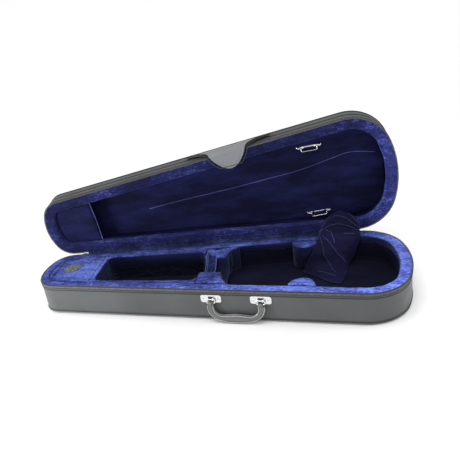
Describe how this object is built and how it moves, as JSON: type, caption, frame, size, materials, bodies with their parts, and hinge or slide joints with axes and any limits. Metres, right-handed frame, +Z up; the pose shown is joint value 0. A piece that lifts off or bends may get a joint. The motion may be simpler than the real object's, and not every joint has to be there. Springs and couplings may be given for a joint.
{
  "type": "violin case",
  "caption": "Open dart-shaped violin case with a hinged lid, plush-lined hollow, carrying handle, zipper halves, closure flap and bow clips.",
  "frame": {"origin": "middle of the case length, on the flat underside of the base", "axes": "+X along the case towards the wide end, +Y towards the hinge side, +Z up; rest pose is the lid standing open"},
  "size_m": [0.8024, 0.3157, 0.3333],
  "materials": {
    "shell_board": "bare laminated board, hidden",
    "outer_leatherette": "fine-grained satin leatherette, dark grey",
    "edge_piping": "satin leatherette cord",
    "rim_piping": "dark satin cord",
    "zipper_tape": "woven tape",
    "zipper_teeth": "nylon coil",
    "zipper_metal": "nickel plated",
    "blue_plush": "crushed plush, royal blue",
    "navy_velvet": "short-pile velvet, near-black navy",
    "tab_weave": "dark woven tab with light flecks",
    "flap_leatherette": "satin leatherette, mid grey",
    "handle_leatherette": "satin leatherette, padded",
    "chrome": "bright chrome plate"
  },
  "bodies": {
    "base": {"base_shell": "shell_board", "base_side_cover": "outer_leatherette", "base_bottom_cover": "outer_leatherette", "base_bottom_piping": "edge_piping", "base_rim_piping": "rim_piping", "base_zipper_tape": "zipper_tape", "base_zipper_teeth": "zipper_teeth", "zipper_end_stops": "zipper_metal", "hinge_strip": "outer_leatherette", "hinge_lining_strip": "blue_plush", "base_rim_pad": "blue_plush", "base_wall_lining": "navy_velvet", "base_floor_pad": "navy_velvet", "neck_cradle": "blue_plush", "neck_strap": "blue_plush", "front_waist_pad": "blue_plush", "back_waist_pad": "blue_plush", "front_compartment_pad": "blue_plush", "back_compartment_pad": "blue_plush", "accessory_box": "blue_plush", "accessory_lid_hinge_tape": "blue_plush", "instrument_blanket": "navy_velvet", "left_handle_plate": "chrome", "right_handle_plate": "chrome", "handle_plate_rivets": "chrome"},
    "lid": {"lid_shell": "shell_board", "lid_side_cover": "outer_leatherette", "lid_top_cover": "outer_leatherette", "lid_edge_piping": "edge_piping", "lid_rim_piping": "rim_piping", "lid_zipper_tape": "zipper_tape", "lid_zipper_teeth": "zipper_teeth", "lid_rim_pad": "blue_plush", "lid_wall_lining": "navy_velvet", "lid_lining_panel": "navy_velvet", "bow_tip_pocket": "navy_velvet", "upper_bow_clip_plate": "chrome", "lower_bow_clip_plate": "chrome", "bow_clip_screws": "chrome", "flap_root": "flap_leatherette"},
    "flap": {"closure_flap": "flap_leatherette"},
    "handle": {"handle_grip": "handle_leatherette", "left_handle_ring": "chrome", "right_handle_ring": "chrome"},
    "upper_bail": {"upper_bow_clip_bail": "chrome"},
    "lower_bail": {"lower_bow_clip_bail": "chrome"},
    "accessory_cover": {"accessory_lid": "blue_plush", "accessory_lid_tab": "tab_weave"},
    "left_slider": {"left_zipper_slider": "zipper_metal"},
    "right_slider": {"right_zipper_slider": "zipper_metal"},
    "left_tab": {"left_pull_tab": "zipper_metal"},
    "right_tab": {"right_pull_tab": "zipper_metal"}
  },
  "joints": [
    {"name": "lid_hinge", "type": "hinge", "parent": "base", "child": "lid", "pos_m": [-0.0002, 0.10289, 0.0705], "axis": [-0.9955, -0.0946, 0], "range_deg": [-86, 4]},
    {"name": "flap_bend", "type": "hinge", "parent": "lid", "child": "flap", "pos_m": [0.03351, 0.08652, 0.28751], "axis": [0.9789, 0.0799, 0.188], "range_deg": [-88, 6]},
    {"name": "handle_swing", "type": "hinge", "parent": "base", "child": "handle", "pos_m": [0.05083, -0.11025, 0.0495], "axis": [-0.9955, 0.0946, 0], "range_deg": [-1, 149]},
    {"name": "upper_clip_swing", "type": "hinge", "parent": "lid", "child": "upper_bail", "pos_m": [0.20058, 0.14278, 0.26746], "axis": [-0.9917, -0.0876, -0.0944], "range_deg": [-16, 120]},
    {"name": "lower_clip_swing", "type": "hinge", "parent": "lid", "child": "lower_bail", "pos_m": [0.21452, 0.1552, 0.10956], "axis": [-0.9917, -0.0876, -0.0944], "range_deg": [-16, 120]},
    {"name": "accessory_lid_hinge", "type": "hinge", "parent": "base", "child": "accessory_cover", "pos_m": [-0.271, 0, 0.0693], "axis": [0, 1, 0], "range_deg": [0, 100]},
    {"name": "left_slider_slide", "type": "slide", "parent": "base", "child": "left_slider", "axis": [-0.9955, -0.0946, 0], "range_m": [0, 0.018]},
    {"name": "right_slider_slide", "type": "slide", "parent": "base", "child": "right_slider", "axis": [0.9955, 0.0946, 0], "range_m": [0, 0.018]},
    {"name": "left_tab_swing", "type": "hinge", "parent": "left_slider", "child": "left_tab", "pos_m": [-0.32996, 0.07421, 0.067], "axis": [0.9955, 0.0946, 0], "range_deg": [-2, 75]},
    {"name": "right_tab_swing", "type": "hinge", "parent": "right_slider", "child": "right_tab", "pos_m": [0.26933, 0.13117, 0.067], "axis": [0.9955, 0.0946, 0], "range_deg": [-2, 75]}
  ],
  "couplings": [
    {"joint": "flap_bend", "follows": "lid_hinge", "ratio": 0.9992}
  ]
}
